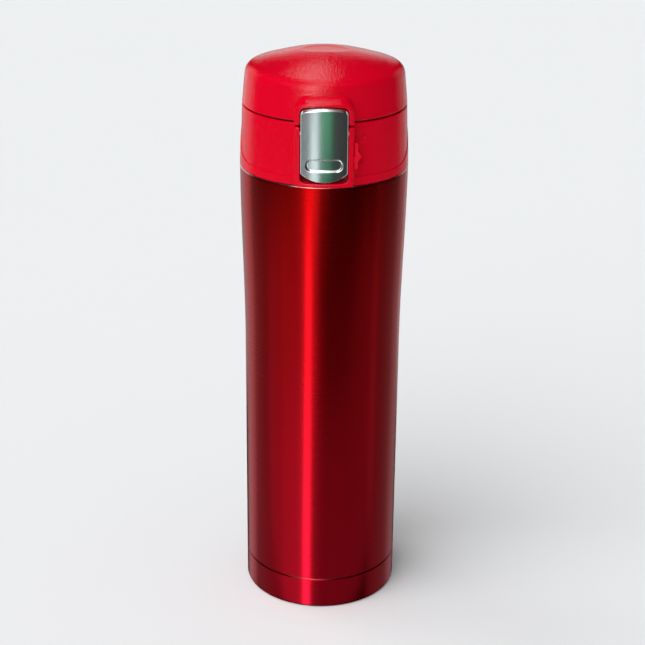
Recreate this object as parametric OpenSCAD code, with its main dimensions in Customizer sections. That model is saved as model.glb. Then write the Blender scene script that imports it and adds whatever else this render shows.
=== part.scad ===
// Double-walled steel vacuum flask with a screw-on one-touch drinking cap.
// Origin: centre of the flat base. +Z runs up the flask, -Y faces the button.

/* [Steel body] */
// Height of the steel body, from the base to its shoulder
body_h = 195; // [180:1:215]
// Outer radius of the straight lower body
body_r = 33.35; // [33:0.05:33.6]
// Height at which the body starts to widen towards the shoulder
flare_z = 118; // [80:1:140]
// Outer radius at the shoulder
shoulder_r = 34.95; // [34.6:0.05:35.1]
// Sheet thickness of both steel walls
steel_t = 0.6; // [0.5:0.05:0.7]
// Outer radius of the inner vessel
inner_r = 30.6; // [29:0.1:31]
// Height of the seam between the base cup and the body
seam_z = 13.8; // [11:0.2:17]

/* [Neck and thread] */
// Outer radius of the threaded neck
neck_r = 23.2; // [22.8:0.1:23.4]
// Height of the neck above the shoulder
neck_h = 16; // [15.5:0.1:16.5]
// Rise of the thread in one turn
pitch = 4; // [3.6:0.1:4.4]
// Turns of thread on the neck and in the cap
turns = 1.5; // [1:0.1:1.5]

/* [Cap] */
// Outer radius of the cap panel at its lower edge
cap_r = 34.7; // [34.4:0.05:34.9]
// Height of the gap between cap and lid, above the shoulder
parting_h = 25.8; // [25.4:0.1:26.2]
// Radius at the gap between cap and lid
parting_r = 33.87; // [33.6:0.05:34]
// Bore radius of the drinking spout
spout_bore = 9; // [8:0.1:9.5]
// Height of the trim band at the front of the cap
trim_h = 3.8; // [3:0.1:5]
// Radius of the arc in which the trim band rises to the sides
trim_arc = 26.4; // [25:0.1:28]

/* [Lid] */
// Height of the lid corner, above the shoulder
corner_h = 41.3; // [40:0.1:42]
// Radius of the lid at its corner
corner_r = 32.3; // [31.8:0.1:32.6]
// Height of the dome above the lid corner
dome_h = 7.1; // [5:0.1:9]
// Wall thickness of the plastic mouldings
wall = 2; // [1.6:0.1:2.2]

/* [Button and lock] */
// Width of the button face
button_w = 18.5; // [17:0.1:18.5]
// Height of the button face
button_h = 30; // [28:0.1:30]
// Radius of the front faces of button and housing about the flask axis
front_r = 38.2; // [37.8:0.1:38.6]
// Outer width of the housing and of the lid arch
housing_w = 23.7; // [23.4:0.1:24]
// Travel of the lock slider
lock_travel = 4; // [3:0.5:4]

/* [Hidden] */
$fn = 96;

fit = 0.05;                        // running clearance of a pin in its bore
gap = 0.3;                         // clearance between separate bodies

seam_gap = 0.5;                    // width of the groove above the base cup
foot_round = 1;                    // rounding of the base cup's lower corner
floor_z = 8;                       // underside of the disc that closes the vacuum
vessel_z = 11;                     // underside of the inner vessel
vessel_round = 6.6;                // lower corner radius of the inner vessel
mouth_r = 21.6;                    // outer radius of the inner vessel's neck
neck_top = body_h + neck_h;

cap_low = body_h + gap;
cap_top = body_h + parting_h - 0.4;
lid_low = body_h + parting_h + 0.4;
skirt_t = 0.9;                     // depth of the trim band into the cap wall
proud = 0.3;                       // how far the trim band stands out of the panel
deck_z = neck_top + 2.15;          // underside of the cap's deck
deck_t = 2.2;
socket_r = 25.2;                   // inner radius of the threaded socket
thread_z = body_h + 6.5;           // centre of the neck thread at its lower end

spout_r = spout_bore + 1.9;        // outer radius of the spout tube
spout_top = body_h + 36.5;
seat_h = 2;                        // height of the conical seat in the spout
seat_slope = tan(30);
flange_r = 14;
vent_y = 17.5;
vent_r = 2.6;
vent_bore = 1.2;
vent_top = spout_top - 2;
gasket_h = 1.05;
gasket_r = 13.2;

corner_z = body_h + corner_h;
liner_top = body_h + 38.9;
liner_t = 1.2;
liner_low = liner_top - liner_t;

hinge_y = 37.3;
hinge_z = body_h + 26.5;
hinge_pin_r = 1.25;
knuckle_r = 2.8;
ear_in = 8;                        // inner face of each hinge ear
ear_out = 11;

housing_x = housing_w / 2;
pocket_x = 9.6;                    // half width of the button pocket
pocket_y = -31.2;                  // back of the button pocket
housing_low = body_h + 0.6;
housing_floor = body_h + 2.2;
housing_top = body_h + 24.9;
button_x = button_w / 2;
button_low = body_h + 2.8;
button_top = button_low + button_h;
plate_t = 1;
lever_back = -34.2;
button_pin_r = 0.75;
button_pin_y = -35.2;
button_pin_z = body_h + 22;
spring_z = body_h + 8;

slot_low = body_h + 9.9;
finger_h = 3;
slider_low = body_h + 8;
slider_h = 10.6;
slider_t = 1.2;

far = 60;                          // reach of cutting shapes past the object

// ---- shared shapes ---------------------------------------------------

// Ring about the flask axis
module ring(r_in, r_out, low, high) {
    rotate_extrude()
        translate([r_in, low])
            square([r_out - r_in, high - low]);
}

// Box between two corners
module block(a, b) {
    translate(a) cube(b - a);
}

// Rod along X, centred on x = 0
module rod_x(r, length, y, z) {
    translate([-length / 2, y, z])
        rotate([0, 90, 0]) cylinder(r = r, h = length);
}

// Outline drawn in X and Z, extruded along Y from the far front to y_back
module front_prism(y_back) {
    translate([0, y_back, 0])
        rotate([90, 0, 0]) linear_extrude(far + y_back) children();
}

// Outline drawn in Y and Z, extruded along X between two faces
module side_prism(x_low, x_high) {
    translate([x_low, 0, 0])
        rotate([90, 0, 90]) linear_extrude(x_high - x_low) children();
}

// Flat-topped outline with two round upper corners
module arch_outline(half_w, low, high, round) {
    translate([-half_w, low]) square([2 * half_w, high - low - round]);
    translate([-half_w + round, low]) square([2 * (half_w - round), high - low]);
    for (side = [-1, 1])
        translate([side * (half_w - round), high - round]) circle(r = round);
}

// One ridge of a screw thread: r_in and r_out are its radii, w_in and w_out its heights there
module thread_ridge(z_start, r_in, w_in, r_out, w_out) {
    steps = round(48 * turns);
    corners = [[r_in, -w_in / 2], [r_out, -w_out / 2], [r_out, w_out / 2], [r_in, w_in / 2]];
    points = [
        for (i = [0:steps], c = corners)
            let (a = 360 * turns * i / steps)
            [c[0] * cos(a), c[0] * sin(a), z_start + pitch * a / 360 + c[1]]
    ];
    sides = [
        for (i = [0:steps - 1], k = [0:3])
            [4 * i + k, 4 * i + (k + 1) % 4, 4 * i + 4 + (k + 1) % 4, 4 * i + 4 + k]
    ];
    last = 4 * steps;
    polyhedron(points, concat([[3, 2, 1, 0]], sides, [[last, last + 1, last + 2, last + 3]]));
}

function unit(v) = v / norm(v);

// Helical wire along +Z between its first and last coil centres, with a straight leg at each end
module coil(coil_r, wire_r, coils, length, leg) {
    per_turn = 18;
    n = 6;
    steps = per_turn * coils;
    helix = [
        for (i = [0:steps])
            [coil_r * cos(360 * i / per_turn), coil_r * sin(360 * i / per_turn), length * i / steps]
    ];
    path = concat([[coil_r, -leg, 0]], helix, [[coil_r, leg, length]]);
    last = len(path) - 1;
    points = [
        for (i = [0:last])
            let (along = unit(path[min(i + 1, last)] - path[max(i - 1, 0)]),
                 side = unit(cross(along, [0, 0, 1])), up = cross(side, along))
            for (k = [0:n - 1])
                path[i] + wire_r * (cos(360 * k / n) * side + sin(360 * k / n) * up)
    ];
    sides = [
        for (i = [0:last - 1], k = [0:n - 1])
            [n * i + k, n * i + (k + 1) % n, n * i + n + (k + 1) % n, n * i + n + k]
    ];
    first_end = [for (k = [0:n - 1]) n - 1 - k];
    last_end = [for (k = [0:n - 1]) n * last + k];
    polyhedron(points, concat([first_end], sides, [last_end]));
}

// ---- steel body ------------------------------------------------------

// Share of the widening reached at height z, eased at both ends
function ease(t) = 3 * t * t - 2 * t * t * t;
function body_radius(z) =
    z <= flare_z ? body_r
    : body_r + (shoulder_r - body_r) * ease(min(1, (z - flare_z) / (body_h - flare_z)));

flare_steps = 14;
flare_z_list = [
    for (i = [0:flare_steps]) flare_z + (body_h - 1.2 - flare_z) * i / flare_steps
];

module outer_shell() {
    seam_top = seam_z + seam_gap / 2;
    outside = concat(
        [[body_r, seam_top]],
        [for (z = flare_z_list) [body_radius(z), z]],
        [[shoulder_r - 0.3, body_h - 0.35], [shoulder_r - 1, body_h],
         [neck_r + 1, body_h], [neck_r, body_h + 1], [neck_r, neck_top]]
    );
    inside = concat(
        [[body_r - steel_t, seam_top]],
        [for (z = flare_z_list) [body_radius(z) - steel_t, z]],
        [[shoulder_r - 1, body_h - steel_t], [neck_r - steel_t, body_h - steel_t],
         [neck_r - steel_t, neck_top]]
    );
    count = len(inside);
    color("firebrick") {
        rotate_extrude()
            polygon(concat(outside, [for (i = [1:count]) inside[count - i]]));
        thread_ridge(thread_z, neck_r - 0.3, 1.9, neck_r + 1.4, 0.9);
    }
}

// Half section of the inner vessel's outline, smaller by inset
module vessel_outline(inset, top) {
    r = inner_r - inset;
    low = vessel_z + inset;
    round = vessel_round - inset;
    mouth = mouth_r - inset;
    shoulder_low = body_h - 13 - inset;
    square_low = low + round;
    translate([0, low]) square([r - round, round]);
    intersection() {
        translate([r - round, square_low]) circle(r = round);
        translate([r - round - 1, low]) square([round + 1, round]);
    }
    polygon([
        [0, square_low], [r, square_low], [r, shoulder_low], [mouth + 0.6, body_h - 2.9 - inset],
        [mouth, body_h - 2.2 - inset], [mouth, top], [0, top]
    ]);
}

module inner_vessel() {
    color("lightgray") {
        rotate_extrude()
            difference() {
                vessel_outline(0, neck_top);
                vessel_outline(steel_t, neck_top + 1);
            }
        ring(mouth_r, neck_r - steel_t, neck_top - steel_t, neck_top);
    }
}

module copper_foil() {
    color("peru") ring(inner_r, inner_r + 0.2, 22, body_h - 18);
}

module vacuum_bottom() {
    rim = body_r - steel_t;
    color("silver") {
        ring(vent_bore, rim, floor_z, floor_z + steel_t);
        ring(rim - steel_t, rim, floor_z, floor_z + 10);
    }
}

module vacuum_seal() {
    color("lightblue") {
        translate([0, 0, floor_z]) cylinder(r = vent_bore, h = steel_t);
        intersection() {
            translate([0, 0, floor_z]) sphere(r = 2);
            translate([0, 0, floor_z - 2]) cylinder(r = 3, h = 2);
        }
    }
}

module getter() {
    color("dimgray") translate([12, 0, floor_z + steel_t]) cylinder(r = 4, h = 1.6);
}

module base_cup() {
    rim = body_r - steel_t;
    top = seam_z - seam_gap / 2;
    corner = body_r - foot_round;
    color("firebrick")
        rotate_extrude()
            polygon([
                [0, 0], [19.5, 0], [20, 0.5], [22, 0.5], [22.5, 0], [corner, 0],
                [body_r - 0.3, 0.3], [body_r, foot_round], [body_r, top], [rim, top],
                [rim, 1.1], [rim - 0.5, steel_t], [22.8, steel_t], [22.2, 1.1],
                [19.8, 1.1], [19.2, steel_t], [0, steel_t]
            ]);
}

module mouth_gasket() {
    color("white") ring(mouth_r - 1, neck_r + 1.2, neck_top + 0.1, deck_z - 0.15);
}

// ---- cap -------------------------------------------------------------

// Outer radius of the cap panel at height z
function panel_radius(z) =
    cap_r + (parting_r - cap_r) * (z - cap_low) / (cap_top - cap_low);

// Band of the cap's wall between two offsets from the panel surface
module wall_band(inward, outward) {
    rotate_extrude()
        polygon([
            [panel_radius(cap_low) - inward, cap_low],
            [panel_radius(cap_low) + outward, cap_low],
            [panel_radius(cap_top) + outward, cap_top],
            [panel_radius(cap_top) - inward, cap_top]
        ]);
}

// Space of the smooth front panel, bounded below by the swoop of the trim band
module front_panel_space() {
    arc_y = -19;
    low = cap_low - gap + trim_h;
    side_prism(-far, far) {
        translate([-far, low]) square([far + arc_y, far]);
        translate([arc_y, low + trim_arc]) circle(r = trim_arc);
    }
}

// Trim layer of the cap's wall
module trim_layer(outward) {
    difference() {
        wall_band(skirt_t, outward);
        front_panel_space();
    }
}

module housing_cut() {
    block([-housing_x, -far, body_h], [housing_x, -28, housing_top + 5]);
}

module cap_body() {
    color("crimson") {
        difference() {
            union() {
                wall_band(wall + 0.2, 0);
                ring(spout_r + fit, panel_radius(deck_z) - 1.5, deck_z, deck_z + deck_t);
                ring(socket_r, socket_r + wall, body_h + 1.5, deck_z + 0.5);
                translate([0, vent_y, deck_z]) cylinder(r = vent_r, h = vent_top - deck_z);
            }
            trim_layer(far);
            housing_cut();
            ring(0, gasket_r, deck_z - 1, deck_z + gasket_h);
            translate([0, vent_y, deck_z - 1]) cylinder(r = vent_bore, h = far);
        }
        thread_ridge(thread_z - pitch / 2, socket_r - 1.5, 0.9, socket_r + 0.3, 1.9);
    }
}

module hinge_ear(x_low) {
    side_prism(x_low, x_low + ear_out - ear_in) {
        translate([hinge_y, hinge_z]) circle(r = knuckle_r);
        polygon([
            [parting_r - 1, hinge_z - 11], [hinge_y + knuckle_r - 0.4, hinge_z - 1.3],
            [hinge_y, hinge_z], [parting_r - 1, cap_top]
        ]);
    }
}

module cap_skirt() {
    color("crimson")
        difference() {
            union() {
                trim_layer(proud);
                difference() {
                    union() {
                        hinge_ear(ear_in);
                        hinge_ear(-ear_out);
                    }
                    cylinder(r = parting_r - 0.4, h = far * 5);
                }
            }
            housing_cut();
            rod_x(hinge_pin_r, 3 * ear_out, hinge_y, hinge_z);
        }
}

module drinking_spout() {
    low = deck_z - 1.5;
    rim = spout_bore + seat_h * seat_slope;
    color("white")
        rotate_extrude()
            polygon([
                [spout_bore + 1, low], [flange_r, low], [flange_r, deck_z], [spout_r, deck_z],
                [spout_r, spout_top - 0.4], [spout_r - 0.3, spout_top], [rim, spout_top],
                [spout_bore, spout_top - seat_h], [spout_bore, low + 1]
            ]);
}

module spout_gasket() {
    color("whitesmoke") ring(spout_r, gasket_r, deck_z, deck_z + gasket_h);
}

module lock_housing() {
    color("crimson")
        difference() {
            intersection() {
                ring(0, front_r, housing_low, housing_top);
                block([-housing_x, -far, 0], [housing_x, pocket_y + 1.2, housing_top]);
            }
            block([-pocket_x, -far, housing_floor], [pocket_x, pocket_y, housing_top + 1]);
            rod_x(button_pin_r, housing_w - 0.7, button_pin_y, button_pin_z);
            block([pocket_x - 1, button_pin_y - 0.9, slot_low],
                  [far, button_pin_y + 1.1, slot_low + finger_h + lock_travel + 2 * gap]);
        }
}

module hinge_pin() {
    color("silver") rod_x(hinge_pin_r, 2 * ear_out - 0.4, hinge_y, hinge_z);
}

module lid_spring() {
    coil_r = 2;
    wire_r = 0.3;
    leg = 5;
    x_low = 3.6;
    length = ear_in - 2 * wire_r - x_low;
    color("silver")
        translate([x_low, hinge_y, hinge_z])
            rotate([0, 90, 0]) rotate([0, 0, -90]) coil(coil_r, wire_r, 5, length, leg);
}

module button_pin() {
    color("silver") rod_x(button_pin_r, housing_w - 0.7, button_pin_y, button_pin_z);
}

module button_spring() {
    wire_r = 0.25;
    length = pocket_y - lever_back - 2 * wire_r;
    color("silver")
        translate([0, pocket_y - wire_r, spring_z])
            rotate([90, 0, 0]) coil(2, wire_r, 3, length, 0.4);
}

// ---- lid -------------------------------------------------------------

corner_reach = 2.8;                // length of the corner's rounding along the wall and the dome
dome_power = 1.7;
dome_r = corner_r - 0.6;
dome_low = corner_z + 0.1;

// Point on the curve that leaves a towards b and reaches c
function curve(a, b, c, t) = (1 - t) * (1 - t) * a + 2 * t * (1 - t) * b + t * t * c;

// Outline of the lid in radius and height, moved inwards by inset
function dome_z(r) = dome_low + dome_h * (1 - pow(r / dome_r, dome_power));
function lid_outline(inset) =
    let (reach = corner_reach - inset,
         foot = [parting_r - inset, lid_low],
         corner = [corner_r - inset, corner_z - inset],
         top_r = corner[0] - reach,
         wall_end = corner + reach * unit(foot - corner),
         dome_end = [top_r, dome_z(top_r) - inset])
    concat(
        [foot],
        [for (t = [0:0.2:1]) curve(wall_end, corner, dome_end, t)],
        [for (i = [1:12]) let (r = top_r * (1 - i / 12)) [r, dome_z(r) - inset]]
    );

// Everything inside the lid's outer surface, above its lower edge
module lid_solid(inset) {
    rotate_extrude()
        polygon(concat([[0, lid_low - (inset > 0 ? 1 : 0)]],
                       inset > 0 ? [[parting_r - inset, lid_low - 1]] : [],
                       lid_outline(inset)));
}

// Surround of the button on the front of the lid
module lid_arch() {
    low = body_h + parting_h - 0.3;
    front_edge = button_top + 1.5;
    difference() {
        intersection() {
            rotate_extrude()
                polygon([
                    [parting_r - 3, low], [front_r, low], [front_r, front_edge - 0.6],
                    [front_r - 0.5, front_edge], [parting_r - 1, front_edge + 2],
                    [parting_r - 3, front_edge + 2]
                ]);
            front_prism(-28) arch_outline(housing_x, low - 1, front_edge + 2.1, 4.5);
        }
        front_prism(-30) arch_outline(pocket_x, low - 2, button_top + 0.5, 2.8);
    }
}

// Half width, as a share of its radius, at which a ball has risen by rise
function ball_share(rise, ball) = sqrt(1 - pow((ball - rise) / ball, 2));

module lid_shell() {
    dish_x = 10;
    dish_y = 6.2;
    dish_z = dome_z(0) - 1.5;
    ball = 10;
    reach_x = dish_x / ball_share(dome_z(dish_x) - dish_z, ball);
    reach_y = dish_y / ball_share(dome_z(dish_y) - dish_z, ball);
    color("crimson")
        difference() {
            union() {
                lid_solid(0);
                lid_arch();
                lid_knuckle();
            }
            lid_solid(wall);
            translate([0, 0, dish_z + ball])
                scale([reach_x / ball, reach_y / ball, 1]) sphere(r = ball, $fn = 128);
            block([-6, -far, lid_low - 2], [6, -parting_r + 1.6, lid_low + 3]);
            rod_x(hinge_pin_r + fit, 3 * ear_out, hinge_y, hinge_z);
        }
}

// Hinge knuckle with its arm to the lid's wall
module lid_knuckle() {
    x_low = -ear_in + gap;
    x_high = 3;
    side_prism(x_low, x_high) {
        translate([hinge_y, hinge_z]) circle(r = knuckle_r);
        polygon([
            [parting_r - 1.6, lid_low + 0.1], [hinge_y, lid_low + 0.1],
            [hinge_y + 1.9, hinge_z + 2], [parting_r - 1.6, hinge_z + 5]
        ]);
    }
}

module lid_liner() {
    color("whitesmoke") ring(0, corner_r - wall, liner_low, liner_top);
}

module lid_seal() {
    low = spout_top - seat_h + gap;
    cone_top = low + seat_h;
    color("white")
        rotate_extrude()
            polygon([
                [0, low - 0.6], [spout_bore - 1.2, low - 0.6], [spout_bore, low],
                [spout_bore + seat_h * seat_slope, cone_top],
                [spout_r + 0.5, cone_top], [spout_r + 0.5, liner_low], [0, liner_low]
            ]);
}

module seal_retainer() {
    color("gainsboro") ring(spout_r + 0.5, spout_r + 2.5, spout_top + 0.4, liner_low);
}

module vent_plug() {
    color("white")
        translate([0, vent_y, vent_top + gap]) cylinder(r = vent_r - 0.2, h = liner_low - vent_top - gap);
}

// ---- button and lock -------------------------------------------------

// Front outline of the button, a flat top with round corners over an arc
module button_outline() {
    drop = 3.4;
    arc = (button_x * button_x + drop * drop) / (2 * drop);
    arch_outline(button_x, button_low + drop, button_top, 2.6);
    intersection() {
        translate([0, button_low + arc]) circle(r = arc);
        translate([-button_x, button_low]) square([button_w, drop + 1]);
    }
}

module button_plate() {
    recess_x = 7.5;
    recess_r = 2.6;
    recess_z = button_low + 6.9;
    color("silver")
        difference() {
            intersection() {
                ring(front_r - plate_t, front_r, button_low, button_top);
                front_prism(-30) button_outline();
            }
            translate([0, -front_r + 0.6, 0]) front_prism(0) {
                translate([-recess_x + recess_r, recess_z - recess_r])
                    square([2 * (recess_x - recess_r), 2 * recess_r]);
                for (side = [-1, 1])
                    translate([side * (recess_x - recess_r), recess_z]) circle(r = recess_r);
            }
        }
}

module button_lever() {
    low = button_low + 0.6;
    nose_z = body_h + 27.2;
    color("dimgray")
        difference() {
            union() {
                intersection() {
                    ring(0, front_r - plate_t, low, button_top - 0.2);
                    front_prism(lever_back) button_outline();
                }
                block([-5, lever_back - 0.5, nose_z], [5, lever_back + 0.4, nose_z + 1.6]);
            }
            rod_x(button_pin_r + fit, 3 * button_w, button_pin_y, button_pin_z);
        }
}

module lock_slider() {
    plate_x = housing_x + 0.2;
    y_low = -36.2;
    y_high = -33.2;
    thumb_z = slider_low + slider_h / 2;
    color("crimson") {
        block([plate_x, y_low, slider_low], [plate_x + slider_t, y_high, slider_low + slider_h]);
        block([pocket_x + 0.2, button_pin_y - 0.6, slot_low + gap],
              [plate_x + 0.5, button_pin_y + 0.8, slot_low + gap + finger_h]);
        translate([0, y_high - 0.2, 0])
            rotate([90, 0, 0])
                linear_extrude(2.6)
                    polygon([
                        [plate_x + 0.5, thumb_z - 2.4], [plate_x + slider_t + 1.5, thumb_z],
                        [plate_x + 0.5, thumb_z + 2.4]
                    ]);
    }
}

outer_shell();
inner_vessel();
copper_foil();
vacuum_bottom();
vacuum_seal();
getter();
base_cup();
mouth_gasket();
cap_body();
cap_skirt();
drinking_spout();
spout_gasket();
lock_housing();
hinge_pin();
lid_spring();
button_pin();
button_spring();
lid_shell();
lid_liner();
lid_seal();
seal_retainer();
vent_plug();
button_lever();
button_plate();
lock_slider();
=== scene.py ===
"""Looks of the vacuum flask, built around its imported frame.

Lengths are in millimetres until a mesh is made; the stage, the lights and the camera are in metres.
"""
import math

import bpy
from mathutils import Matrix, Vector


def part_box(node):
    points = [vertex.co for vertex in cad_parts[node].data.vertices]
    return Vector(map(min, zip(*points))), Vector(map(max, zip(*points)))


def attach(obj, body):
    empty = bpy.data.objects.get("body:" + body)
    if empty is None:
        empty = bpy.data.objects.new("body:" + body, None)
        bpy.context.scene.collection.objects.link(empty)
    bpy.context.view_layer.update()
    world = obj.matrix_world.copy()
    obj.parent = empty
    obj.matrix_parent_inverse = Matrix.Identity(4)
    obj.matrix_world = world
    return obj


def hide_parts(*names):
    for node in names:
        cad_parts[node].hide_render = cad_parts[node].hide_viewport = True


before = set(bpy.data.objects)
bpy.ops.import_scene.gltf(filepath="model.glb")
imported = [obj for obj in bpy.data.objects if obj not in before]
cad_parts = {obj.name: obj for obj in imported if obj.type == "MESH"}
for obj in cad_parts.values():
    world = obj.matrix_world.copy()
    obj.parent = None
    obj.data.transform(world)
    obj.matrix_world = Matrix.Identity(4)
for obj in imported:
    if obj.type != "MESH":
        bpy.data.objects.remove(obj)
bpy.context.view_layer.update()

MM = 0.001

# ---- sizes taken from the frame ----------------------------------------


def low(node, axis):
    """Lowest coordinate of a CAD node along one axis."""
    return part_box(node)[0]["xyz".index(axis)] / MM


def high(node, axis):
    """Highest coordinate of a CAD node along one axis."""
    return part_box(node)[1]["xyz".index(axis)] / MM


HEAD_GAP = 0.3  # between the vessel's shoulder and the cap
SPOUT_H = 18.35  # above the deck
SPOUT_WALL = 1.9
COLLAR_T = 2.5  # the collar round the spout seal

BODY_R = high("base_cup", "x")
SHOULDER_R = high("outer_shell", "x")
SEAM_LOW = high("base_cup", "z")
SEAM_HIGH = low("outer_shell", "z")
NECK_TOP = high("outer_shell", "z")
CAP_LOW = low("cap_body", "z")
SHOULDER = CAP_LOW - HEAD_GAP
GASKET_LOW, GASKET_HIGH = low("mouth_gasket", "z"), high("mouth_gasket", "z")
SPOUT_TOP = high("drinking_spout", "z")
DECK = SPOUT_TOP - SPOUT_H
SPOUT_R = high("seal_retainer", "x") - COLLAR_T
SPOUT_BORE = SPOUT_R - SPOUT_WALL
FLANGE_R = high("drinking_spout", "x")
LINER_LOW, LINER_HIGH = low("lid_liner", "z"), high("lid_liner", "z")
LINER_R = high("lid_liner", "x")
HINGE_Y = (low("hinge_pin", "y") + high("hinge_pin", "y")) / 2
HINGE_Z = (low("hinge_pin", "z") + high("hinge_pin", "z")) / 2
HINGE_PIN_R = (high("hinge_pin", "z") - low("hinge_pin", "z")) / 2
FRONT = -low("lid_shell", "y")
ARCH_R = FRONT - 0.2
HOUSING_X = high("lock_housing", "x")
HOUSING_LOW, HOUSING_TOP = low("lock_housing", "z"), high("lock_housing", "z")
BUTTON_X = high("button_plate", "x")
BUTTON_LOW, BUTTON_TOP = low("button_plate", "z"), high("button_plate", "z")
PIN_Y = (low("button_pin", "y") + high("button_pin", "y")) / 2
PIN_Z = (low("button_pin", "z") + high("button_pin", "z")) / 2
PIN_R = (high("button_pin", "z") - low("button_pin", "z")) / 2

# ---- sizes of the looks ------------------------------------------------

STEEL = 0.6
NECK_R = 23.2
MOUTH_R = 21.0
FLARE_Z = 118  # where the straight body begins to widen
PARTING_R = 33.87  # the skin at the line between cap and lid
CAP_R = 34.7  # the skin at the foot of the cap
CAP_TOP = SHOULDER + 25.4
LID_LOW = SHOULDER + 26.2
TRIM_TOP = SHOULDER + 3.8
TRIM_ARC_R = 26.4
TRIM_ARC_Y = -19
PROUD = 0.3  # of the trim band over the cap's wall
WALL = 2
CORNER_R = 32.3  # the lid's upper corner
POCKET_X = 9.6  # half the width of the button's opening
POCKET_BACK = -31.2
LEVER_BACK = -34.2
KNUCKLE_R = 2.8
VENT_Y = 17.5
NECK_PITCH = 4
NECK_TURNS = 1.5
SOCKET_R = 25.2
DECK_T = 2.2
ROUND_STEPS = 192  # round the outer skin
ARCH_BACK = -32.0
SEAT_SLOPE = math.tan(math.radians(30))
MARK_ANGLE = 26.5  # from the front to the lock's marks


# ---- mesh tools --------------------------------------------------------


def deselect():
    """Goes to object mode with nothing selected."""
    if bpy.context.mode != "OBJECT":
        bpy.ops.object.mode_set(mode="OBJECT")
    bpy.ops.object.select_all(action="DESELECT")


def edit(piece):
    """Opens one piece for editing, with all of it selected."""
    deselect()
    bpy.context.view_layer.objects.active = piece
    piece.select_set(True)
    bpy.ops.object.mode_set(mode="EDIT")
    bpy.ops.mesh.select_all(action="SELECT")


def clean(piece):
    """Merges doubles and turns all faces outwards."""
    edit(piece)
    bpy.ops.mesh.remove_doubles(threshold=1e-7)
    bpy.ops.mesh.normals_make_consistent(inside=False)
    deselect()


def add_modifier(piece, kind, **settings):
    """Adds a modifier and applies it at once."""
    deselect()
    bpy.context.view_layer.objects.active = piece
    piece.select_set(True)
    modifier = piece.modifiers.new(kind, kind)
    for name, value in settings.items():
        setattr(modifier, name, value)
    bpy.ops.object.modifier_apply(modifier=modifier.name)
    return piece


def draw_line(name, points):
    """A line of edges through points: a plane merged to one vertex, then extruded from point to point."""
    deselect()
    bpy.ops.mesh.primitive_plane_add(size=MM, location=(0, 0, 0))
    piece = bpy.context.object
    piece.name = piece.data.name = name
    points = [Vector(p) * MM for p in points]
    bpy.ops.object.mode_set(mode="EDIT")
    bpy.ops.mesh.merge(type="CENTER")
    bpy.ops.transform.translate(value=points[0])
    for before, after in zip(points, points[1:]):
        bpy.ops.mesh.extrude_vertices_move(TRANSFORM_OT_translate={"value": after - before})
    bpy.ops.mesh.select_all(action="SELECT")
    bpy.ops.mesh.remove_doubles(threshold=1e-7)
    return piece


def rounded(corners, steps=5):
    """Outline through corners (x, z, fillet), each fillet drawn as a short curve."""
    points = []
    for i, (x, z, fillet) in enumerate(corners):
        corner = Vector((x, z))
        if not fillet:
            points.append(corner)
            continue
        before = Vector(corners[i - 1][:2]) - corner
        after = Vector(corners[(i + 1) % len(corners)][:2]) - corner
        reach = fillet / math.tan(before.angle(after) / 2)
        start = corner + before.normalized() * reach
        end = corner + after.normalized() * reach
        for k in range(steps + 1):
            t = k / steps
            points.append(start.lerp(corner, t).lerp(corner.lerp(end, t), t))
    return points


def turned(name, outline, steps=160):
    """A turned piece: an outline of (radius, height) spun once about Z."""
    on_axis = outline[0][0] == 0 and outline[-1][0] == 0
    closed = outline if on_axis else list(outline) + [outline[0]]
    piece = draw_line(name, [(p[0], 0, p[1]) for p in closed])
    bpy.ops.mesh.select_all(action="SELECT")
    bpy.ops.mesh.spin(steps=steps, angle=2 * math.pi, center=(0, 0, 0), axis=(0, 0, 1))
    clean(piece)
    return piece


def slab(name, outline, front, back):
    """A plate with an outline in X and Z, from y = front to y = back."""
    points = [(p[0], front, p[1]) for p in outline]
    piece = draw_line(name, points + [points[0]])
    bpy.ops.mesh.edge_face_add()
    bpy.ops.mesh.extrude_region_move(TRANSFORM_OT_translate={"value": (0, (back - front) * MM, 0)})
    clean(piece)
    return piece


def soften(piece, width, segments=3, angle=40):
    """Rounds every edge sharper than an angle."""
    return add_modifier(
        piece, "BEVEL", width=width * MM, segments=segments, limit_method="ANGLE",
        angle_limit=math.radians(angle), harden_normals=False, use_clamp_overlap=True,
    )


def slice_across(piece, half_width, step):
    """Cuts a plate into strips along X, so that it can bend."""
    edit(piece)
    count = int(half_width / step)
    for k in range(-count, count + 1):
        bpy.ops.mesh.select_all(action="SELECT")
        bpy.ops.mesh.bisect(plane_co=(k * step * MM, 0, 0), plane_no=(1, 0, 0))
    deselect()


def move_points(piece, rule):
    """Moves every point of a piece by a rule from (x, y, z) to (x, y, z)."""
    for vertex in piece.data.vertices:
        vertex.co = Vector(rule(*(vertex.co / MM))) * MM
    piece.data.update()


def bow(piece, radius):
    """Bends a flat plate back onto an upright cylinder, with its sides still parallel."""
    move_points(piece, lambda x, y, z: (x, y + radius - math.sqrt(radius**2 - x * x), z))


def block(name, corner, opposite):
    """A box between two corners."""
    deselect()
    centre = (Vector(corner) + Vector(opposite)) * MM / 2
    bpy.ops.mesh.primitive_cube_add(size=1, location=centre)
    piece = bpy.context.object
    piece.name = piece.data.name = name
    piece.scale = (Vector(opposite) - Vector(corner)) * MM
    bpy.ops.object.transform_apply(location=True, scale=True)
    return piece


def place(piece, turn=None, move=(0, 0, 0)):
    """Turns a piece about the origin, then moves it, in its mesh."""
    matrix = Matrix.Translation(Vector(move) * MM)
    if turn:
        matrix = matrix @ Matrix.Rotation(math.radians(turn[1]), 4, turn[0])
    piece.data.transform(matrix)
    return piece


def combine(piece, other, how):
    """Joins a second solid to a piece or cuts it away."""
    deselect()
    add_modifier(piece, "BOOLEAN", operation=how, object=other, solver="EXACT")
    bpy.data.objects.remove(other)
    clean(piece)
    return piece


def cut(piece, other):
    """Cuts a second solid out of a piece."""
    return combine(piece, other, "DIFFERENCE")


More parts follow.
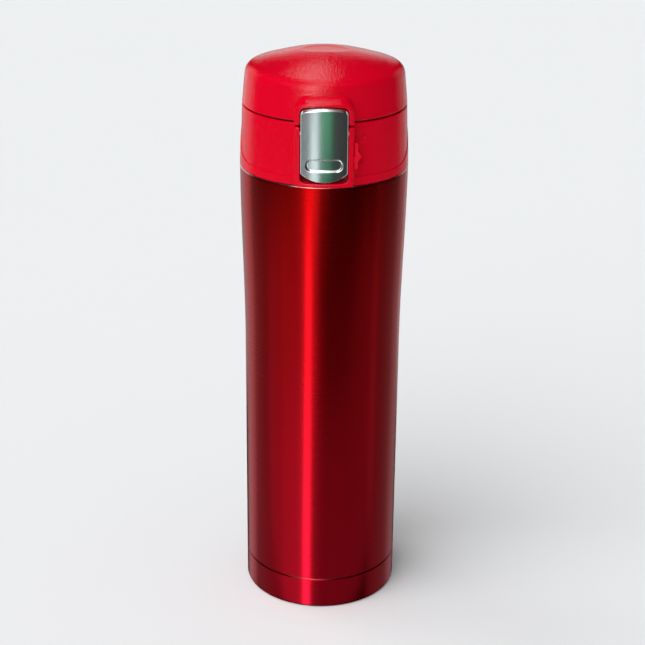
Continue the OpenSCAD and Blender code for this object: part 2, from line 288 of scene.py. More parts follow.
def fuse(piece, other):
    """Makes a second solid one with a piece."""
    return combine(piece, other, "UNION")


def join(piece, *others):
    """Makes separate solids one object."""
    deselect()
    for other in (piece, *others):
        other.select_set(True)
    bpy.context.view_layer.objects.active = piece
    bpy.ops.object.join()
    return piece


def finish_piece(piece, body, nodes, finish, angle=32):
    """Shades a finished piece, ties it to its body and its finish, and hides the CAD nodes it stands for."""
    deselect()
    bpy.context.view_layer.objects.active = piece
    piece.select_set(True)
    bpy.ops.object.shade_smooth_by_angle(angle=math.radians(angle))
    add_modifier(piece, "WEIGHTED_NORMAL", weight=80, keep_sharp=True)
    if not piece.data.materials:
        piece.data.materials.append(finish)
    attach(piece, body)
    if nodes:
        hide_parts(*nodes)
    deselect()
    return piece


def paint_faces(piece, finishes, rule):
    """Gives a piece several finishes: rule(centre in mm, normal) says which one a face takes."""
    for finish in finishes:
        piece.data.materials.append(finish)
    for face in piece.data.polygons:
        face.material_index = rule(face.center / MM, face.normal)


def thread(name, inner, outer, start_z, pitch, turns):
    """A screw ridge from its flanks, given as (radius, height) at its foot and at its crest."""
    foot_r, foot_z = inner[0], inner[1] / 2
    crest_r, crest_z = outer[0], outer[1] / 2
    flanks = [(foot_r, -foot_z), (crest_r, -crest_z), (crest_r, crest_z), (foot_r, foot_z)]
    piece = draw_line(name, [(r, 0, start_z + z) for r, z in flanks + [flanks[0]]])
    deselect()
    add_modifier(
        piece, "SCREW", angle=2 * math.pi * turns, screw_offset=pitch * turns * MM, axis="Z",
        steps=int(72 * turns), render_steps=int(72 * turns), use_merge_vertices=False,
    )
    edit(piece)
    bpy.ops.mesh.fill_holes(sides=0)
    clean(piece)
    return piece


# ---- finishes ----------------------------------------------------------


class Term:
    """A shader socket that takes part in Python arithmetic."""

    def __init__(self, recipe, socket):
        self.recipe = recipe
        self.socket = socket

    def _with(self, operation, first, second):
        return self.recipe.node("ShaderNodeMath", {"operation": operation}, {0: first, 1: second})

    def __add__(self, other):
        return self._with("ADD", self, other)

    def __radd__(self, other):
        return self._with("ADD", other, self)

    def __sub__(self, other):
        return self._with("SUBTRACT", self, other)

    def __rsub__(self, other):
        return self._with("SUBTRACT", other, self)

    def __mul__(self, other):
        return self._with("MULTIPLY", self, other)

    def __rmul__(self, other):
        return self._with("MULTIPLY", other, self)

    def __truediv__(self, other):
        return self._with("DIVIDE", self, other)

    def __rtruediv__(self, other):
        return self._with("DIVIDE", other, self)


class Recipe:
    """One node material: constants go on the shader, what varies is linked."""

    def __init__(self, name, **constants):
        self.material = bpy.data.materials.new(name)
        self.material.use_nodes = True
        self.tree = self.material.node_tree
        self.shader = self.tree.nodes["Principled BSDF"]
        for socket, value in constants.items():
            self.shader.inputs[socket.replace("_", " ")].default_value = value

    def node(self, kind, settings=None, inputs=None, output=0):
        """Adds one node from its type, its settings and the values or links of its sockets."""
        made = self.tree.nodes.new(kind)
        for name, value in (settings or {}).items():
            setattr(made, name, value)
        for name, value in (inputs or {}).items():
            self.feed(made.inputs[name], value)
        return Term(self, made.outputs[output])

    def feed(self, socket, value):
        """Links a term to a socket, or sets a plain value on it."""
        if isinstance(value, Term):
            self.tree.links.new(value.socket, socket)
        else:
            socket.default_value = value

    def give(self, name, value):
        """Feeds one socket of the shader."""
        self.feed(self.shader.inputs[name], value)

    def coordinates(self, stretch):
        """Object coordinates stretched along each axis, in features per metre."""
        where = self.node("ShaderNodeTexCoord", output=3)
        return self.node("ShaderNodeVectorMath", {"operation": "MULTIPLY"}, {0: where, 1: stretch})

    def axis(self, index):
        """One object coordinate in metres."""
        where = self.node("ShaderNodeTexCoord", output=3)
        return self.node("ShaderNodeSeparateXYZ", {}, {0: where}, index)

    def noise(self, stretch, detail=2.0, roughness=0.5):
        """Noise on object coordinates, in features per metre along each axis."""
        return self.node(
            "ShaderNodeTexNoise", {},
            {"Vector": self.coordinates(stretch), "Scale": 1.0, "Detail": detail, "Roughness": roughness},
        )

    def blend(self, share, first, second):
        """Mixes two colours."""
        return self.node("ShaderNodeMix", {"data_type": "RGBA"}, {0: share, 6: first, 7: second}, 2)

    def bump(self, height, depth, strength=1.0):
        """Raises the surface by a height term, whose full depth is in millimetres."""
        self.give("Normal", self.node(
            "ShaderNodeBump", {}, {"Height": height, "Distance": depth * MM, "Strength": strength}))


def lacquered_steel():
    """Clear red lacquer over steel brushed round the body."""
    recipe = Recipe(
        "red_lacquer_on_brushed_steel", Metallic=1.0, Anisotropic=0.75, Anisotropic_Rotation=0.25,
        Coat_Weight=0.12, Coat_Roughness=0.25,
    )
    lines = recipe.noise((90, 90, 5200), 3.0, 0.6)
    patches = recipe.noise((45, 45, 18), 2.0)
    tone = lines * 0.6 + patches * 0.3
    upper = recipe.blend(tone, (0.52, 0.0002, 0.0005, 1), (0.68, 0.0004, 0.001, 1))
    lower = recipe.blend(tone, (0.52, 0.0006, 0.014, 1), (0.68, 0.001, 0.022, 1))
    height = recipe.axis(2) * (1 / (SHOULDER * MM))
    recipe.give("Base Color", recipe.blend(height, lower, upper))
    recipe.give("Roughness", 0.2 + lines * 0.08 + patches * 0.04)
    recipe.bump(lines, 0.0025)
    return recipe.material


def bare_steel(name, shade=0.62, roughness=0.2):
    """Stainless steel with fine lines round the axis."""
    recipe = Recipe(name, Metallic=1.0, Anisotropic=0.5, Anisotropic_Rotation=0.25)
    lines = recipe.noise((120, 120, 4200), 3.0, 0.6)
    recipe.give("Base Color", recipe.blend(
        lines, (shade, shade * 0.98, shade * 0.96, 1), (shade * 1.15, shade * 1.14, shade * 1.12, 1)))
    recipe.give("Roughness", roughness + lines * 0.12)
    recipe.bump(lines, 0.004)
    return recipe.material


def moulded_plastic(name, colour, light, roughness, grain=0.012, shine=0.5):
    """Moulded plastic with a fine eroded grain."""
    recipe = Recipe(name, Specular_IOR_Level=shine)
    grain_noise = recipe.noise((1350, 1350, 1350), 1.0, 0.5)
    cloud = recipe.noise((60, 60, 60), 2.0)
    recipe.give("Base Color", recipe.blend(grain_noise * 0.5 + cloud * 0.5, (*colour, 1), (*light, 1)))
    recipe.give("Roughness", roughness - 0.05 + grain_noise * 0.1)
    recipe.bump(grain_noise, grain)
    return recipe.material


def silicone():
    """Soft white silicone, slightly cloudy."""
    recipe = Recipe("white_silicone", Subsurface_Weight=0.25, Subsurface_Scale=0.002)
    cloud = recipe.noise((240, 240, 240), 2.0)
    recipe.give("Base Color", recipe.blend(cloud, (0.78, 0.78, 0.75, 1), (0.86, 0.86, 0.84, 1)))
    recipe.give("Roughness", 0.42 + cloud * 0.12)
    recipe.bump(recipe.noise((900, 900, 900)), 0.004)
    return recipe.material


def satin_chrome(name, roughness, shade, metallic=1.0):
    """Chrome with a satin blast, finely mottled."""
    recipe = Recipe(name, Metallic=metallic)
    blast = recipe.noise((2600, 2600, 2600), 2.0)
    cloud = recipe.noise((260, 260, 160), 2.0)
    recipe.give("Base Color", recipe.blend(
        blast, (shade * 0.97, shade, shade, 1), (shade * 1.04, shade * 1.07, shade * 1.07, 1)))
    recipe.give("Roughness", roughness + cloud * 0.06)
    recipe.bump(blast, 0.0015)
    return recipe.material


def solder_glass():
    """A bead of clear solder glass."""
    recipe = Recipe("solder_glass", IOR=1.5, Transmission_Weight=0.8)
    cloud = recipe.noise((700, 700, 700))
    recipe.give("Base Color", recipe.blend(cloud, (0.62, 0.74, 0.78, 1), (0.75, 0.86, 0.9, 1)))
    recipe.give("Roughness", 0.05 + cloud * 0.05)
    return recipe.material


def copper():
    """Thin rolled copper."""
    recipe = Recipe("rolled_copper", Metallic=1.0)
    creases = recipe.noise((80, 80, 300), 4.0)
    recipe.give("Base Color", recipe.blend(creases, (0.72, 0.3, 0.16, 1), (0.9, 0.48, 0.32, 1)))
    recipe.give("Roughness", 0.2 + creases * 0.2)
    recipe.bump(creases, 0.05)
    return recipe.material


LACQUER = lacquered_steel()
STEEL_FINISH = bare_steel("brushed_steel")
RIM_STEEL = bare_steel("rim_steel", 0.7, 0.2)
WIRE = bare_steel("spring_wire", 0.5, 0.25)
RED = moulded_plastic("red_plastic", (0.64, 0.0, 0.012), (0.72, 0.0003, 0.020), 0.12, 0.11, 0.3)
WHITE = moulded_plastic("white_plastic", (0.78, 0.78, 0.75), (0.83, 0.83, 0.81), 0.25, 0.003)
DARK = moulded_plastic("dark_plastic", (0.035, 0.035, 0.038), (0.05, 0.05, 0.053), 0.45)
SILICONE = silicone()
CHROME = satin_chrome("satin_chrome", 0.17, 0.58)
POLISHED = satin_chrome("polished_chrome", 0.24, 0.9)
# Partly matt pale chrome for the button plate's rims and sides: its pale matt part is a painted highlight
# standing in for the rims' bright reflection.
RIM_PAINTED_HIGHLIGHT = satin_chrome("rim_chrome_painted_highlight", 0.3, 0.88, 0.3)
GLASS = solder_glass()
COPPER = copper()
GETTER = bare_steel("sintered_grey", 0.14, 0.6)


# ---- the steel vessel --------------------------------------------------


def ease(t):
    """A smooth step from 0 to 1."""
    return 3 * t * t - 2 * t**3


def body_radius(z):
    """Outer radius of the steel body at height z."""
    if z <= FLARE_Z:
        return BODY_R
    return BODY_R + (SHOULDER_R - BODY_R) * ease(min(1, (z - FLARE_Z) / (SHOULDER - FLARE_Z)))


def make_body():
    """The steel body: straight below, flared to the shoulder, with the neck and its thread."""
    flare_steps = 26
    flare_h = SHOULDER - 1.4 - FLARE_Z
    heights = [FLARE_Z + flare_h * i / flare_steps for i in range(flare_steps + 1)]
    outside = [(body_radius(z), z, 0) for z in heights]
    inside = [(body_radius(z) - STEEL, z, 0) for z in reversed(heights)]
    corners = [
        (BODY_R - STEEL, SEAM_HIGH, 0), (BODY_R, SEAM_HIGH, 0.25), *outside,
        (SHOULDER_R, SHOULDER, 0.7), (NECK_R, SHOULDER, 1.2), (NECK_R, NECK_TOP, 0.28),
        (NECK_R - STEEL, NECK_TOP, 0.2), (NECK_R - STEEL, SHOULDER - STEEL, 0.6),
        (SHOULDER_R - STEEL, SHOULDER - STEEL, 0.5), *inside,
    ]
    shell = turned("body_shell", rounded(corners), ROUND_STEPS)
    ridge = thread(
        "neck_ridge", (NECK_R - 0.2, 2.0), (NECK_R + 1.4, 0.8), SHOULDER + 6.5, NECK_PITCH, NECK_TURNS)
    soften(ridge, 0.2, 2)
    join(shell, ridge)
    bare_from = SHOULDER - 0.46
    paint_faces(shell, (LACQUER, RIM_STEEL), lambda centre, normal: int(centre.z > bare_from))
    finish_piece(shell, "vessel", ["outer_shell"], LACQUER)


def make_base():
    """The base cup, with a groove under its foot."""
    rim = BODY_R - STEEL
    corners = [
        (0, 0, 0), (19.5, 0, 0.6), (20.2, 0.5, 0.3), (21.8, 0.5, 0.3), (22.5, 0, 0.6), (BODY_R, 0, 1.1),
        (BODY_R, SEAM_LOW, 0.25), (rim, SEAM_LOW, 0), (rim, STEEL, 0.5), (0, STEEL, 0),
    ]
    cup = turned("foot_cup", rounded(corners), ROUND_STEPS)
    finish_piece(cup, "vessel", ["base_cup"], LACQUER)


def make_inner_vessel():
    """The inner bottle, from its dished bottom to the mouth."""
    outer = high("inner_vessel", "x")
    bottom = low("inner_vessel", "z")
    inner = outer - STEEL
    shoulder = SHOULDER - 13
    corners = [
        (0, bottom, 0), (outer, bottom, 6.6), (outer, shoulder, 6), (MOUTH_R + STEEL, SHOULDER - 2.5, 5),
        (MOUTH_R + STEEL, NECK_TOP - STEEL, 0.3), (NECK_R - STEEL, NECK_TOP - STEEL, 0),
        (NECK_R - STEEL, NECK_TOP, 0), (MOUTH_R, NECK_TOP, 0.4), (MOUTH_R, SHOULDER - 2.8, 5.5),
        (inner, shoulder - 0.4, 5.5), (inner, bottom + STEEL, 6), (0, bottom + STEEL, 0),
    ]
    vessel = turned("inner_bottle", rounded(corners, 8), 160)
    finish_piece(vessel, "vessel", ["inner_vessel"], STEEL_FINISH)


def make_gasket():
    """The silicone ring between mouth and cap."""
    inner, outer = MOUTH_R - 0.4, high("mouth_gasket", "x")
    middle = (GASKET_LOW + GASKET_HIGH) / 2
    corners = [
        (inner, GASKET_LOW, 0.3), (outer, GASKET_LOW, 0.4), (outer, middle - 0.3, 0.1),
        (outer - 0.4, middle, 0.1), (outer, middle + 0.3, 0.1), (outer, GASKET_HIGH, 0.4),
        (inner, GASKET_HIGH, 0.3),
    ]
    ring = turned("mouth_ring", rounded(corners, 3), 128)
    finish_piece(ring, "gasket", ["mouth_gasket"], SILICONE)


# ---- the cap -----------------------------------------------------------


def panel_radius(z):
    """Outer radius of the cap's front panel at height z."""
    return CAP_R + (PARTING_R - CAP_R) * (z - CAP_LOW) / (CAP_TOP - CAP_LOW)


def lock_mark(inner, outer, z):
    """A small raised mark beside the lock: a ring where it is open, a dot where it is shut."""
    foot, crest = -0.3, 0.2
    profile = [(inner, foot, 0), (outer, foot, 0), (outer, crest, 0.1), (inner, crest, 0.1 if inner else 0)]
    mark = turned("lock_mark", rounded(profile, 3), 40)
    place(mark, turn=("X", 90), move=(0, -panel_radius(z), z))
    return place(mark, turn=("Z", MARK_ANGLE))


def make_cap():
    """The cap: outer wall, deck with the vent, and the threaded socket below it."""
    inside = PARTING_R - WALL - 0.1
    deck_top, deck_under = DECK + DECK_T, DECK - 1.8
    collar_top = deck_top + 0.6
    socket_low = SHOULDER + 1.5
    corners = [
        (CAP_R - 2.2, CAP_LOW, 0.3), (CAP_R, CAP_LOW, 0.3), (PARTING_R, CAP_TOP, 0.45),
        (inside - 0.1, CAP_TOP, 0.4), (inside + 0.3, deck_top, 1.2), (SPOUT_R + 1.6, deck_top, 0.5),
        (SPOUT_R + 1.2, collar_top, 0.3), (SPOUT_R, collar_top, 0), (SPOUT_R, DECK, 0), (SOCKET_R, DECK, 0.4),
        (SOCKET_R, socket_low, 0.4), (SOCKET_R + WALL, socket_low, 0.4), (SOCKET_R + WALL, deck_under, 1),
        (inside + 0.3, deck_under, 0.8),
    ]
    cap = turned("cap_wall", rounded(corners, 4), ROUND_STEPS)
    room_x = HOUSING_X - 0.2
    cut(cap, block("housing_room", (-room_x, -60, SHOULDER), (room_x, -28.6, CAP_TOP + 5)))
    ridge = thread(
        "socket_ridge", (SOCKET_R - 1.5, 0.8), (SOCKET_R + 0.2, 2.0), SHOULDER + 4.5, NECK_PITCH, NECK_TURNS)
    vent_low, vent_top = DECK + 0.5, high("cap_body", "z")
    bore, outer = 1.2, 2.6
    vent = turned("vent_tube", rounded([
        (bore, vent_low, 0), (outer, vent_low, 0), (outer, deck_top, 0), (outer, vent_top, 0.3),
        (bore, vent_top, 0.3)]), 48)
    place(vent, move=(0, VENT_Y, 0))
    open_mark, shut_mark = lock_mark(1.0, 1.4, SHOULDER + 19.6), lock_mark(0, 1.2, SHOULDER + 8.6)
    join(cap, ridge, vent, open_mark, shut_mark)
    finish_piece(cap, "cap", ["cap_body"], RED)


def trim_outline(unit_r):
    """Unrolled outline of the trim band, as (arc length from the front, height).

    Its upper edge swoops up to the parting line beside the housing.
    """
    top_angle = math.asin((CAP_TOP - TRIM_TOP - TRIM_ARC_R) / TRIM_ARC_R)
    steps = 26
    half = []
    for k in range(steps + 1):
        a = -math.pi / 2 + (top_angle + math.pi / 2) * k / steps
        y = TRIM_ARC_Y + TRIM_ARC_R * math.cos(a)
        z = TRIM_TOP + TRIM_ARC_R + TRIM_ARC_R * math.sin(a)
        half.append((unit_r * math.acos(-y / panel_radius(z)), z))
    end = math.pi * unit_r
    upper = [(-x, z) for x, z in reversed(half)] + half
    return [(-end, CAP_LOW), (-end, CAP_TOP)] + upper + [(end, CAP_TOP), (end, CAP_LOW)]


def make_trim():
    """The trim band: drawn flat, rounded, sliced, rolled round the cap, with the hinge ears behind."""
    unit_r = 35.0
    end = math.pi * unit_r
    band = slab("trim_band", trim_outline(unit_r), -PROUD, 0.9)
    soften(band, 0.16, 3)
    slice_across(band, end, 2 * end / 160)
    edit(band)
    bpy.ops.mesh.select_all(action="DESELECT")
    deselect()
    for face in band.data.polygons:
        face.select = abs(face.center.x / MM) > end - 0.3 and abs(face.normal.x) > 0.3
    bpy.ops.object.mode_set(mode="EDIT")
    bpy.ops.mesh.delete(type="FACE")
    deselect()

    def roll(x, y, z):
        x = max(-end, min(end, x * end / (end - 0.16) if abs(x) > end - 0.3 else x))
        r = panel_radius(z) - y
        return r * math.sin(x / unit_r), -r * math.cos(x / unit_r), z

    move_points(band, roll)
    clean(band)
    room_x = HOUSING_X + 0.05
    cut(band, block("housing_room", (-room_x, -60, SHOULDER - 5), (room_x, 0, CAP_TOP + 5)))
    for side in (-1, 1):
        join(band, hinge_ear(side))
    finish_piece(band, "cap", ["cap_skirt"], RED)


def circle_points(y, z, r, start, end, steps):
    """Points on a circle between two angles in degrees."""
    angles = [math.radians(start + (end - start) * k / steps) for k in range(steps + 1)]
    return [(y + r * math.cos(a), z + r * math.sin(a)) for a in angles]


def hinge_ear(side):
    """One of the two ears that hold the hinge pin."""
    inner, outer = low("hinge_pin", "x") + 0.2 + 2.8, low("hinge_pin", "x") - 0.2
    outline = circle_points(HINGE_Y, HINGE_Z, KNUCKLE_R, -20, 200, 22)
    outline += [(33.4, HINGE_Z - 3), (33.6, HINGE_Z - 11.5)]
    faces = sorted((side * -inner, side * -outer))
    ear = slab("hinge_ear", outline, *faces)
    soften(ear, 0.45, 3)
    return place(ear, turn=("Z", 90))


def make_spout():
    """The drinking spout, with its flange under the deck and its conical seat."""
    bottom = low("drinking_spout", "z")
    seat = 2 * SEAT_SLOPE
    corners = [
        (SPOUT_BORE + 0.8, bottom, 0.5), (FLANGE_R, bottom, 0.5), (FLANGE_R, DECK, 0.1), (SPOUT_R, DECK, 0),
        (SPOUT_R, DECK + 4, 0), (SPOUT_R - 0.35, SPOUT_TOP - 5, 1.5), (SPOUT_R, SPOUT_TOP - 3, 1.0),
        (SPOUT_R, SPOUT_TOP, 0.35), (SPOUT_BORE + seat, SPOUT_TOP, 0.3), (SPOUT_BORE, SPOUT_TOP - 2, 0.8),
        (SPOUT_BORE, bottom + 1.5, 1.0),
    ]
    spout = turned("spout_tube", rounded(corners), 128)
    finish_piece(spout, "cap", ["drinking_spout"], WHITE)


def make_housing():
    """The bowed frame round the button, with its back and the slot for the lock's finger."""
    top, bottom = HOUSING_TOP, HOUSING_LOW
    floor = SHOULDER + 2.2
    outline = rounded([
        (-HOUSING_X, bottom, 1.0), (HOUSING_X, bottom, 1.0), (HOUSING_X, top, 0.7), (POCKET_X, top, 0.9),
        (POCKET_X, floor, 2.4), (-POCKET_X, floor, 2.4), (-POCKET_X, top, 0.9), (-HOUSING_X, top, 0.7)], 6)
    frame_piece = slab("button_frame", outline, -ARCH_R, POCKET_BACK + 0.2)
    soften(frame_piece, 0.5, 4)
    slice_across(frame_piece, HOUSING_X, 0.8)
    bow(frame_piece, ARCH_R)
    slider_low = low("lock_slider", "z")
    cut(frame_piece, block("finger_slot", (POCKET_X - 1, PIN_Y - 0.65, slider_low + 1.9),
                           (60, PIN_Y + 1.0, slider_low + 9.5)))
    back = block("frame_back", (-HOUSING_X, POCKET_BACK, bottom), (HOUSING_X, POCKET_BACK + 1.2, top))
    join(frame_piece, soften(back, 0.3))
    finish_piece(frame_piece, "cap", ["lock_housing"], RED)


def pin_piece(name, radius, length, y, z, dome):
    """A pin along X with rounded heads."""
    half = length / 2
    corners = [(0, -half, 0), (radius, -half, dome), (radius, half, dome), (0, half, 0)]
    pin = turned(name, rounded(corners), 48)
    return place(pin, turn=("Y", 90), move=(0, y, z))


def make_pins():
    """The hinge pin and the button's pivot."""
    hinge = pin_piece("hinge_rod", HINGE_PIN_R, high("hinge_pin", "x") * 2, HINGE_Y, HINGE_Z, 0.4)
    finish_piece(hinge, "cap", ["hinge_pin"], WIRE)
    pivot = pin_piece("button_rod", PIN_R, high("button_pin", "x") * 2, PIN_Y, PIN_Z, 0.3)
    finish_piece(pivot, "cap", ["button_pin"], WIRE)


def coil_spring(name, coil_r, wire_r, turns, length, leg):
    """A wound spring about Z from z = 0, with a straight leg at each end."""
    deselect()
    bpy.ops.mesh.primitive_circle_add(vertices=12, radius=wire_r * MM, rotation=(math.pi / 2, 0, 0))
    spring = bpy.context.object
    spring.name = spring.data.name = name
    bpy.ops.object.transform_apply(rotation=True)
    place(spring, move=(coil_r, 0, 0))
    add_modifier(
        spring, "SCREW", angle=2 * math.pi * turns, screw_offset=length * MM, axis="Z",
        steps=32 * turns, render_steps=32 * turns, use_merge_vertices=False,
    )
    deselect()
    for end_z, direction in ((0, -1), (length, 1)):
        for vertex in spring.data.vertices:
            near = abs(vertex.co.z / MM - end_z) < wire_r * 1.1 and abs(vertex.co.y / MM) < 0.02
            vertex.select = near and vertex.co.x > 0
        bpy.context.view_layer.objects.active = spring
        bpy.ops.object.mode_set(mode="EDIT")
        bpy.ops.mesh.select_mode(type="VERT")
        bpy.ops.mesh.extrude_region_move(TRANSFORM_OT_translate={"value": (0, direction * leg * MM, 0)})
        bpy.ops.mesh.select_all(action="DESELECT")
        bpy.ops.object.mode_set(mode="OBJECT")
    edit(spring)
    bpy.ops.mesh.fill_holes(sides=0)
    clean(spring)
    return spring


def make_springs():
    """The coil spring on the hinge pin."""
    hinge = coil_spring("hinge_spring", 2.0, 0.3, 5, 3.8, 5)
    matrix = Matrix.Rotation(math.radians(90), 4, "Y") @ Matrix.Rotation(math.radians(-90), 4, "Z")
    hinge.data.transform(matrix)
    place(hinge, move=(3.6, HINGE_Y, HINGE_Z))
    finish_piece(hinge, "cap", ["lid_spring"], WIRE)


# ---- the lid -----------------------------------------------------------


def dome_height(r):
    """Height of the lid's top at radius r, without the dish."""
    rim = CORNER_R - 0.6
    centre = SHOULDER + 48.5
    return centre - 7.1 * (min(r, rim) / rim) ** 1.7


def lid_outline():
    """Outline of the lid as a turned shell."""
    corner = SHOULDER + 41.5
    rim = CORNER_R - 0.9
    rings = [rim * (1 - k / 40) for k in range(7, 41)]
    outer = [(PARTING_R, LID_LOW, 0.4), (CORNER_R + 0.1, corner, 4.6)]
    outer += [(r, dome_height(r), 0) for r in rings]
    inner = [(r, dome_height(r) - WALL, 0) for r in reversed(rings)]
    return outer + inner + [(CORNER_R - WALL + 0.1, corner - WALL, 1.2), (PARTING_R - WALL, LID_LOW, 0.4)]


def dish(x, y, z):
    """Presses the oval thumb dish into the top of the lid."""
    reach = math.hypot(x / 10.2, y / 6.4)
    if z < SHOULDER + 46.6 - WALL or reach > 1:
        return x, y, z
    rim_share = min(1, (1 - reach) / 0.3)
    depth = 0.14 * ease(rim_share) + 0.55 * (1 - reach * reach)
    return x, y, z - depth


def arch():
    """Surround of the button on the lid."""
    top, bottom = BUTTON_TOP + 1.6, SHOULDER + 25.5
    opening = BUTTON_TOP + 0.35
    arc = [(POCKET_X * math.sin(a), opening - 1.0 * math.sin(a) ** 2) for a in
           [math.radians(d) for d in range(58, -59, -8)]]
    inner = [(POCKET_X, bottom, 0), (POCKET_X, opening - 1.1, 2.4)]
    inner += [(x, z, 0) for x, z in arc[1:-1]] + [(-POCKET_X, opening - 1.1, 2.4), (-POCKET_X, bottom, 0)]
    outer = [
        (-HOUSING_X, bottom, 1.0), (-HOUSING_X, top, 5.6), (HOUSING_X, top, 5.6), (HOUSING_X, bottom, 1.0)]
    piece = slab("lid_arch", rounded(inner + outer, 8), -ARCH_R, ARCH_BACK)
    rise = 2.2

    def slope(x, y, z):
        outside = abs(x) > POCKET_X + 0.1 or z > opening + 0.1
        share = max(0, min(1, (z - bottom - 3) / (top - bottom - 3))) if outside else 0
        return x, y, z + rise * share * (y + ARCH_R) / (ARCH_R + ARCH_BACK)

    move_points(piece, slope)
    soften(piece, 0.95, 5)
    slice_across(piece, HOUSING_X, 0.8)
    bow(piece, ARCH_R)
    return piece


def knuckle():
    """The lid's knuckle on the hinge pin."""
    outline = circle_points(HINGE_Y, HINGE_Z, KNUCKLE_R, -90, 60, 16)
    outline += [(32.6, HINGE_Z + 5.2), (32.9, LID_LOW + 0.2), (34.6, LID_LOW + 0.2), (34.9, HINGE_Z - 1.3)]
    piece = slab("knuckle", outline, -3.0, 7.7)
    soften(piece, 0.4, 3)
    return place(piece, turn=("Z", 90))


def make_lid():
    """The lid: shell with its dish, arch, catch room and knuckle."""
    lid = turned("lid_cover", rounded(lid_outline()), ROUND_STEPS)
    move_points(lid, dish)
    fuse(lid, arch())
    catch_x = 6
    room = block("catch_room", (-catch_x, -60, LID_LOW - 4), (catch_x, -PARTING_R + 1.6, LID_LOW + 3))
    cut(lid, soften(room, 0.5))
    join(lid, knuckle())
    finish_piece(lid, "lid", ["lid_shell"], RED)


def make_liner():
    """The plate inside the lid and the collar that holds the spout seal."""
    corners = [
        (0, LINER_LOW, 0), (LINER_R - 4, LINER_LOW, 0.4), (LINER_R - 3.2, LINER_LOW + 0.7, 0.4),
        (LINER_R - 0.8, LINER_LOW + 0.7, 0.3), (LINER_R, LINER_HIGH, 0.2), (0, LINER_HIGH, 0),
    ]
    liner = turned("lid_inner_plate", rounded(corners), 128)
    finish_piece(liner, "lid", ["lid_liner"], WHITE)
    retainer_low = low("seal_retainer", "z")
    ring = turned("seal_collar", rounded([
        (SPOUT_R + 0.5, retainer_low, 0.3), (SPOUT_R + 2.1, retainer_low, 0.5),
        (SPOUT_R + COLLAR_T, LINER_LOW, 0.1), (SPOUT_R + 0.5, LINER_LOW, 0)]), 96)
    finish_piece(ring, "lid", ["seal_retainer"], WHITE)


def make_seal():
    """The silicone plug for the spout and the pad for the vent."""
    bottom = low("lid_seal", "z")
    cone_low = bottom + 0.6
    seat = 2 * SEAT_SLOPE
    corners = [
        (0, bottom, 0), (4.2, bottom, 0.4), (4.8, bottom + 0.45, 0.3), (6.2, bottom + 0.45, 0.3),
        (6.8, bottom, 0.4), (SPOUT_BORE - 1.0, bottom, 0.3), (SPOUT_BORE, cone_low, 0.2),
        (SPOUT_BORE + seat, cone_low + 2, 0.15), (SPOUT_R + 0.5, cone_low + 2, 0.2),
        (SPOUT_R + 0.5, LINER_LOW, 0), (0, LINER_LOW, 0),
    ]
    seal = turned("spout_plug", rounded(corners), 96)
    finish_piece(seal, "lid", ["lid_seal"], SILICONE)
    plug_low = low("vent_plug", "z")
    plug = turned("vent_pad", rounded([
        (0, plug_low, 0), (2.0, plug_low, 0.5), (2.0, plug_low + 1, 0.4), (2.4, plug_low + 1.4, 0.3),
        (2.4, LINER_LOW, 0), (0, LINER_LOW, 0)]), 48)
    place(plug, move=(0, VENT_Y, 0))
    finish_piece(plug, "lid", ["vent_plug"], SILICONE)


# ---- the button and its lock -------------------------------------------


def button_outline(inset, lower):
    """Front outline of the button: straight sides, gently arched top, deeper arc below."""
    half = BUTTON_X - inset
    top = BUTTON_TOP - inset
    drop = 3.4
    arc_r = (BUTTON_X**2 + drop**2) / (2 * drop)
    below = [(half * k / 9, 0) for k in range(-9, 10)]
    bottom = [(x, lower + arc_r - math.sqrt(arc_r**2 - x * x), 0) for x, _ in below[1:-1]]
    side_z = lower + arc_r - math.sqrt(arc_r**2 - half * half)
    crown = [(half * k / 10, top - 1.0 * (k / 10) ** 2, 0) for k in range(7, -8, -1)]
    return rounded(
        [(-half, side_z, 0.5)] + bottom + [(half, side_z, 0.5), (half, top - 1.0, 2.4)] + crown
        + [(-half, top - 1.0, 2.4)], 6)


def spring_pocket():
    """Room for the button's spring, so that the lever can go in over it."""
    radius = high("button_spring", "x") + 0.4
    room = turned("spring_pocket", [(0, -2.5), (radius, -2.5), (radius, 2.2), (0, 2.2)], 40)
    spring_z = (low("button_spring", "z") + high("button_spring", "z")) / 2
    return place(room, turn=("X", 90), move=(0, LEVER_BACK, spring_z))


